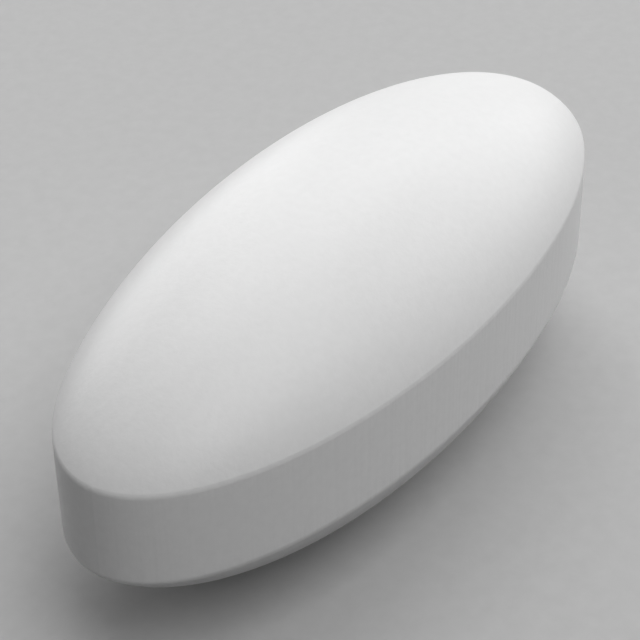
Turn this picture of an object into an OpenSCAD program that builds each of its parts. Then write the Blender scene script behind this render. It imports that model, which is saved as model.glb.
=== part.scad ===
// Oval magnetic stir bar: a magnet rod sealed inside a one-piece PTFE jacket.
// The bar lies along X, +Z up, and rests on the crown of its lower dome at the
// origin. Both domes are alike, so either may face down.

/* [Jacket] */
// Overall length, end to end
length = 50; // [30:0.5:70]
// Overall width, across the middle
width = 20.6; // [16.5:0.1:30]
// Overall height, from crown to crown
height = 19.45; // [15.5:0.05:28]
// Height of the upright side band, between the edges where the domes meet it
band_height = 5.85; // [2:0.05:10]
// Radius that rounds both rims, at the two ends of the bar
rim_radius = 0.45; // [0.1:0.05:1.5]

/* [Magnet] */
// Diameter of the magnet rod
magnet_diameter = 10; // [5:0.5:12]
// Thickness of the jacket beyond each end of the rod
end_wall = 7; // [5.5:0.5:12]
// Chamfer ground round both ends of the rod
magnet_chamfer = 0.5; // [0.2:0.1:1.5]
// Clearance all round between the rod and its chamber
chamber_gap = 0.05; // [0.02:0.01:0.3]

/* [Hidden] */
$fn = 128;

half_length = length / 2;
half_height = height / 2;

// The jacket is a round blank as wide as the bar is long, narrowed along Y to the
// bar's width. This is the factor, and it makes every level section an ellipse.
narrowing = width / length;

// Both domes are parts of one ellipsoid about the bar's centre. It reaches past the
// wall just far enough to cut the wall at the edges of the side band.
dome_reach = half_length / sqrt(1 - pow(band_height / height, 2));

// Length of the rod, between the two end walls
magnet_length = length - 2 * end_wall;

// A point of the dome's outline, and the outward direction there, at angle t
function dome_point(t) = [dome_reach * cos(t), half_height * sin(t)];
function dome_normal(t) =
    let (n = [cos(t) / dome_reach, sin(t) / half_height]) n / norm(n);

// The centre of a rim rounding that touches the dome at angle t
function rim_centre(t) = dome_point(t) - rim_radius * dome_normal(t);

// The angle at which that rounding touches the wall too, found by halving
halvings = 40;
function touch_angle(low, high, steps) =
    let (middle = (low + high) / 2)
    steps == 0 ? middle
    : rim_centre(middle)[0] > half_length - rim_radius
        ? touch_angle(middle, high, steps - 1)
        : touch_angle(low, middle, steps - 1);
rim_angle = touch_angle(0, 90, halvings);

// Half of the outline with sharp rims: the dome's ellipse, as far as the wall
module sharp_profile() {
    intersection() {
        scale([dome_reach, half_height]) circle(r = 1);
        translate([0, -half_height]) square([half_length, height]);
    }
}

// What the rounding takes off the upper rim: the wedge from its centre through its
// two points of contact, which reaches well past the sharp rim, less its circle
module rim_cut() {
    centre = rim_centre(rim_angle);
    reach = 3 * rim_radius;
    difference() {
        polygon([
            centre,
            centre + [reach, 0],
            centre + reach * dome_normal(rim_angle)
        ]);
        translate(centre) circle(r = rim_radius);
    }
}

// Half profile of the blank, both rims rounded
module blank_profile() {
    difference() {
        sharp_profile();
        rim_cut();
        mirror([0, 1]) rim_cut();
    }
}

// The outer form: the blank turned and narrowed, a quarter turn at a time, so that
// each curved face is one simple patch between the bar's two upright middle planes
module outer_form() {
    for (quarter = [0:3])
        scale([1, narrowing, 1])
        rotate([0, 0, 90 * quarter])
        rotate_extrude(angle = 90) blank_profile();
}

// The magnet rod along X about the bar's centre, grown by a gap on every side
module rod(gap) {
    radius = magnet_diameter / 2 + gap;
    half = magnet_length / 2 + gap;
    // A 45 degree chamfer's leg grows by this, so that the gap is as wide across it
    chamfer = magnet_chamfer + gap * (2 - sqrt(2));
    rotate([0, 90, 0]) rotate_extrude() polygon([
        [0, -half],
        [radius - chamfer, -half],
        [radius, chamfer - half],
        [radius, half - chamfer],
        [radius - chamfer, half],
        [0, half]
    ]);
}

// One seamless moulding, closed all round the rod
module ptfe_jacket() {
    color("white")
    translate([0, 0, half_height])
    difference() {
        outer_form();
        rod(chamber_gap);
    }
}

// Cylindrical bar magnet, with a pole at each end
module bar_magnet() {
    color("dimgray") translate([0, 0, half_height]) rod(0);
}

ptfe_jacket();
bar_magnet();
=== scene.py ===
import math

import bpy
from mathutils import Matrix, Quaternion, Vector


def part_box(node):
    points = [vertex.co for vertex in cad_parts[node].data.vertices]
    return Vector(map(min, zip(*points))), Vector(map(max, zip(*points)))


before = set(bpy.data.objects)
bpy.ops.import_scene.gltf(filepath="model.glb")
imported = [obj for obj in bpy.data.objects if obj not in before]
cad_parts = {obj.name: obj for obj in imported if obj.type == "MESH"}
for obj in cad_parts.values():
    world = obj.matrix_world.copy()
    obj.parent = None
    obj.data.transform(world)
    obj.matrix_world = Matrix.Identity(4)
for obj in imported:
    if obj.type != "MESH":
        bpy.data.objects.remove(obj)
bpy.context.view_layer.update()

MM = 0.001

# ---------------------------------------------------------------- colours and nodes


def linear(hex_colour):
    """A colour written as sRGB hex, as the linear values that a shader takes."""
    channels = [int(hex_colour[i:i + 2], 16) / 255 for i in (1, 3, 5)]
    return tuple(c / 12.92 if c <= 0.04045 else ((c + 0.055) / 1.055) ** 2.4
                 for c in channels) + (1.0,)


def per_mm(size):
    """The texture scale at which one cell of a noise is this many millimetres across."""
    return 1000 / size


def add(tree, kind, settings=None, **inputs):
    """Adds a node. Settings are its own properties; an input is a value or another socket.

    Inputs are named as Blender names them, with _ for a space, or by number as _0, _1."""
    node = tree.nodes.new(kind)
    for name, value in (settings or {}).items():
        setattr(node, name, value)
    for name, value in inputs.items():
        key = int(name[1:]) if name[0] == "_" else name.replace("_", " ")
        socket = node.inputs[key]
        if isinstance(value, bpy.types.NodeSocket):
            tree.links.new(value, socket)
        else:
            socket.default_value = value
    return node


def new_material(name):
    material = bpy.data.materials.new(name)
    material.use_nodes = True
    material.node_tree.nodes.clear()
    return material


def looked_at(tree):
    """Gives 1 for what the camera sees, directly or in gloss or glass, and 0 for bounced light."""
    path = add(tree, "ShaderNodeLightPath")
    mirrored = add(tree, "ShaderNodeMath", {"operation": "MAXIMUM"},
                   _0=path.outputs["Is Glossy Ray"], _1=path.outputs["Is Transmission Ray"])
    either = add(tree, "ShaderNodeMath", {"operation": "MAXIMUM"},
                 _0=path.outputs["Is Camera Ray"], _1=mirrored.outputs[0])
    return either.outputs[0]


# ---------------------------------------------------------------- materials


def moulded_ptfe():
    """PTFE powder pressed in a die round the magnet, then sintered into one solid skin.

    To the eye: a neutral near-white, satin like candle wax, because light goes a little way in
    before it comes back. The fused powder leaves a cloudiness that is only just there. The domes
    come off polished punch faces; the side band slid along the die wall, and is a touch duller."""
    material = new_material("moulded_ptfe")
    tree = material.node_tree
    place = add(tree, "ShaderNodeTexCoord")

    # Granular moulding powder is about 0.5 mm across. Clouds from uneven sintering are about
    # 7 mm across, and a bit over half as strong as the powder.
    cloud_share = 0.6
    powder = add(tree, "ShaderNodeTexNoise", Vector=place.outputs["Object"],
                 Scale=per_mm(0.5), Detail=2.0, Roughness=0.5)
    clouds = add(tree, "ShaderNodeTexNoise", Vector=place.outputs["Object"],
                 Scale=per_mm(7.0), Detail=2.0, Roughness=0.5)
    mottle = add(tree, "ShaderNodeMath", {"operation": "MULTIPLY_ADD"},
                 _0=clouds.outputs["Fac"], _1=cloud_share, _2=powder.outputs["Fac"])
    colour = add(tree, "ShaderNodeValToRGB", Fac=mottle.outputs[0])
    colour.color_ramp.elements[0].position = 0.55
    colour.color_ramp.elements[0].color = linear("#F2F2F2")
    colour.color_ramp.elements[1].position = 1.0
    colour.color_ramp.elements[1].color = linear("#F5F5F5")

    # The band is where the surface stands upright: 1 on it, falling to 0 across the rims.
    facing = add(tree, "ShaderNodeSeparateXYZ", Vector=place.outputs["Normal"])
    upward = add(tree, "ShaderNodeMath", {"operation": "ABSOLUTE"}, _0=facing.outputs["Z"])
    band = add(tree, "ShaderNodeMapRange", Value=upward.outputs[0],
               From_Min=0.05, From_Max=0.35, To_Min=1.0, To_Max=0.0)

    # Draw lines from the die wall run straight up the band. Real ones are about 0.05 mm apart
    # and 0.0004 mm deep. That is too fine to show, so they are drawn 0.35 mm apart, and deeper
    # in proportion, so that their sides lean as much.
    stretched = add(tree, "ShaderNodeVectorMath", {"operation": "MULTIPLY"},
                    _0=place.outputs["Object"], _1=(1.0, 1.0, 0.03))
    draw_lines = add(tree, "ShaderNodeTexNoise", Vector=stretched.outputs[0],
                     Scale=per_mm(0.35), Detail=1.0, Roughness=0.4)
    lines_on_band = add(tree, "ShaderNodeMath", {"operation": "MULTIPLY"},
                        _0=draw_lines.outputs["Fac"], _1=band.outputs[0])

    # Roughness: about 0.385 on the punched domes and 0.445 on the band, a little uneven on both.
    # A draw line's noise is 0.5 on average, so it adds half of band_dulling.
    band_dulling = 0.12
    uneven = add(tree, "ShaderNodeMapRange", Value=powder.outputs["Fac"],
                 From_Min=0.3, From_Max=0.7, To_Min=0.36, To_Max=0.41)
    roughness = add(tree, "ShaderNodeMath", {"operation": "MULTIPLY_ADD"},
                    _0=lines_on_band.outputs[0], _1=band_dulling, _2=uneven.outputs[0])

    # The satin grain of a real one is finer than 0.1 mm. It is drawn 0.3 mm across so that it
    # shows. A bump's Distance is the full range of its noise, and one grain or line spans only
    # part of that: the grain comes out 0.0008 mm deep, and the draw lines 0.0027 mm.
    grain = add(tree, "ShaderNodeTexNoise", Vector=place.outputs["Object"],
                Scale=per_mm(0.3), Detail=2.0, Roughness=0.6)
    grained = add(tree, "ShaderNodeBump", Strength=1.0, Distance=0.01 * MM,
                  Height=grain.outputs["Fac"])
    drawn = add(tree, "ShaderNodeBump", Strength=band.outputs[0], Distance=0.02 * MM,
                Height=draw_lines.outputs["Fac"], Normal=grained.outputs[0])

    # PTFE has the low index 1.35. Light spreads about half a millimetre inside it.
    surface = add(tree, "ShaderNodeBsdfPrincipled", Base_Color=colour.outputs[0],
                  Roughness=roughness.outputs[0], IOR=1.35, Normal=drawn.outputs[0],
                  Subsurface_Weight=0.5, Subsurface_Radius=(1.0, 1.0, 1.0),
                  Subsurface_Scale=0.5 * MM)
    add(tree, "ShaderNodeOutputMaterial", Surface=surface.outputs[0])
    return material


def ground_alnico():
    """Alnico cast as a rod, then ground round: a dull steel grey, finely marked by the wheel.

    The casting's small pores are left open as pits wherever the wheel cut into them, and the dark
    colour inside each is painted shade."""
    material = new_material("ground_alnico")
    tree = material.node_tree
    place = add(tree, "ShaderNodeTexCoord")

    # Grinding marks run round the rod, and each is drawn 50 times longer that way than along
    # it. The wheel's grit leaves them about 0.05 mm apart. The broadest are drawn 0.2 mm across
    # so that they show, and a typical one is 0.0008 mm deep.
    along = add(tree, "ShaderNodeVectorMath", {"operation": "MULTIPLY"},
                _0=place.outputs["Object"], _1=(1.0, 0.02, 0.02))
    wheel_marks = add(tree, "ShaderNodeTexNoise", Vector=along.outputs[0],
                      Scale=per_mm(0.2), Detail=3.0, Roughness=0.6)

    # Pores lie about 1.5 mm apart in the metal, so the wheel opens one about every 3 mm. They
    # are up to 0.36 mm across and 0.05 mm deep.
    pores = add(tree, "ShaderNodeTexVoronoi", Vector=place.outputs["Object"],
                Scale=per_mm(1.5))
    pit_and_painted_shade = add(tree, "ShaderNodeMapRange", Value=pores.outputs["Distance"],
              From_Min=0.05, From_Max=0.12, To_Min=1.0, To_Max=0.0)

    # The cast crystals are about 2 mm across, and each takes the light a little differently.
    crystals = add(tree, "ShaderNodeTexNoise", Vector=place.outputs["Object"],
                   Scale=per_mm(2.0), Detail=3.0, Roughness=0.55)
    steel = add(tree, "ShaderNodeValToRGB", Fac=crystals.outputs["Fac"])
    steel.color_ramp.elements[0].position = 0.35
    steel.color_ramp.elements[0].color = linear("#85837F")
    steel.color_ramp.elements[1].position = 0.65
    steel.color_ramp.elements[1].color = linear("#959390")
    # Inside each pit the steel grey is darkened to #3A3836: painted shade in the hole, while the
    # same mask also sinks the pit and dulls it.
    colour = add(tree, "ShaderNodeMix", {"data_type": "RGBA"}, _0=pit_and_painted_shade.outputs[0],
                 _6=steel.outputs[0], _7=linear("#3A3836"))

    # Roughness: 0.30 to 0.42 over the wheel marks, and pit_dulling more inside a pore.
    pit_dulling = 0.4
    marked = add(tree, "ShaderNodeMapRange", Value=wheel_marks.outputs["Fac"],
                 From_Min=0.3, From_Max=0.7, To_Min=0.30, To_Max=0.42)
    roughness = add(tree, "ShaderNodeMath", {"operation": "MULTIPLY_ADD"},
                    _0=pit_and_painted_shade.outputs[0], _1=pit_dulling, _2=marked.outputs[0])
    scored = add(tree, "ShaderNodeBump", Strength=1.0, Distance=0.015 * MM,
                 Height=wheel_marks.outputs["Fac"])
    pitted = add(tree, "ShaderNodeBump", {"invert": True}, Strength=1.0, Distance=0.05 * MM,
                 Height=pit_and_painted_shade.outputs[0], Normal=scored.outputs[0])
    surface = add(tree, "ShaderNodeBsdfPrincipled", Base_Color=colour.outputs[2],
                  Metallic=1.0, Roughness=roughness.outputs[0], Normal=pitted.outputs[0])
    add(tree, "ShaderNodeOutputMaterial", Surface=surface.outputs[0])
    return material


def studio_paper():
    """Seamless background paper: a plain pale grey with no shine, and a fibre that barely shows.

    It keeps the bar's shadow. For the light that it bounces back it is a darker grey than it
    looks, so that the bar's underside stays in shade."""
    material = new_material("studio_paper")
    tree = material.node_tree
    place = add(tree, "ShaderNodeTexCoord")

    # The fibres lie in soft clumps about 1.2 mm across.
    fibre = add(tree, "ShaderNodeTexNoise", Vector=place.outputs["Object"],
                Scale=per_mm(1.2), Detail=3.0, Roughness=0.6)
    pale = add(tree, "ShaderNodeValToRGB", Fac=fibre.outputs["Fac"])
    pale.color_ramp.elements[0].position = 0.3
    pale.color_ramp.elements[0].color = linear("#C1C1C1")
    pale.color_ramp.elements[1].position = 0.7
    pale.color_ramp.elements[1].color = linear("#C5C5C5")
    colour = add(tree, "ShaderNodeMix", {"data_type": "RGBA"}, _0=looked_at(tree),
                 _6=linear("#707070"), _7=pale.outputs[0])
    surface = add(tree, "ShaderNodeBsdfPrincipled", Base_Color=colour.outputs[2],
                  Roughness=0.9, Specular_IOR_Level=0.2)
    add(tree, "ShaderNodeOutputMaterial", Surface=surface.outputs[0])
    return material


def dress(node, material):
    """Gives a carried-over CAD node its real finish."""
    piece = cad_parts[node]
    piece.data.materials.clear()
    piece.data.materials.append(material)


dress("ptfe_jacket", moulded_ptfe())
dress("bar_magnet", ground_alnico())

# ---------------------------------------------------------------- stage

low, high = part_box("ptfe_jacket")
centre = (low + high) / 2
half_length = (high.x - low.x) / 2


def paper_floor(material, radius=600 * MM):
    """A round, flat sheet of paper under the bar, at the height that it rests on."""
    steps = 128
    turns = [2 * math.pi * i / steps for i in range(steps)]
    rim = [(radius * math.cos(turn), radius * math.sin(turn), 0) for turn in turns]
    mesh = bpy.data.meshes.new("paper_floor")
    mesh.from_pydata(rim, [], [range(steps)])
    mesh.materials.append(material)
    piece = bpy.data.objects.new("paper_floor", mesh)
    bpy.context.scene.collection.objects.link(piece)
    piece.location.z = low.z


def toward(azimuth, elevation):
    """The direction out from the bar: azimuth 0 off its +X end, 90 off its +Y side."""
    around = math.radians(azimuth)
    up = math.radians(elevation)
    return Vector((math.cos(up) * math.cos(around), math.cos(up) * math.sin(around), math.sin(up)))


def softbox(name, azimuth, elevation, power, side=1100 * MM, distance=1500 * MM):
    """A square softbox that faces the bar, far enough off to light the paper near it evenly."""
    data = bpy.data.lights.new(name, "AREA")
    data.shape = "SQUARE"
    data.size = side
    data.energy = power
    piece = bpy.data.objects.new(name, data)
    bpy.context.scene.collection.objects.link(piece)
    direction = toward(azimuth, elevation)
    piece.location = centre + direction * distance
    piece.rotation_mode = "QUATERNION"
    piece.rotation_quaternion = (-direction).to_track_quat("-Z", "Y")
    piece.visible_camera = False


def camera(azimuth, elevation, stand_off, aim, roll, lens):
    """A camera over the bar. Stand-off and aim are in half lengths of it, from its centre."""
    data = bpy.data.cameras.new("camera")
    data.sensor_width = 36
    data.lens = lens
    data.clip_start = 5 * MM
    data.clip_end = 50
    piece = bpy.data.objects.new("camera", data)
    bpy.context.scene.collection.objects.link(piece)
    piece.location = centre + toward(azimuth, elevation) * stand_off * half_length
    target = centre + Vector(aim) * half_length
    level = (target - piece.location).to_track_quat("-Z", "Y")
    piece.rotation_mode = "QUATERNION"
    piece.rotation_quaternion = level @ Quaternion((0, 0, 1), math.radians(roll))
    bpy.context.scene.camera = piece


def pale_world(shown, strength):
    """A pale backdrop beyond the floor, which the bar's gloss mirrors too.

    Other than that it lights the bar only as much as strength says."""
    world = bpy.data.worlds.new("pale_world")
    world.use_nodes = True
    tree = world.node_tree
    tree.nodes.clear()
    fill = add(tree, "ShaderNodeBackground", Color=linear("#FFFFFF"), Strength=strength)
    backdrop = add(tree, "ShaderNodeBackground", Color=linear(shown), Strength=1.0)
    both = add(tree, "ShaderNodeMixShader", _0=looked_at(tree),
               _1=fill.outputs[0], _2=backdrop.outputs[0])
    add(tree, "ShaderNodeOutputWorld", Surface=both.outputs[0])
    bpy.context.scene.world = world


paper_floor(studio_paper())

# A long lens close over the bar's -X end, a little to its -Y side.
camera(azimuth=211.07, elevation=33.974, stand_off=4.604, aim=(-0.1054, 0.0101, 0),
       roll=-0.66, lens=107.0)

softbox("key", azimuth=30, elevation=50, power=8.9)
softbox("end_fill", azimuth=345, elevation=25, power=7.2)
softbox("far_fill", azimuth=60, elevation=14, power=6.7)
softbox("near_fill", azimuth=260, elevation=60, power=9.4)
pale_world(shown="#C0C0C0", strength=0.14)

bpy.context.scene.view_settings.view_transform = "Standard"
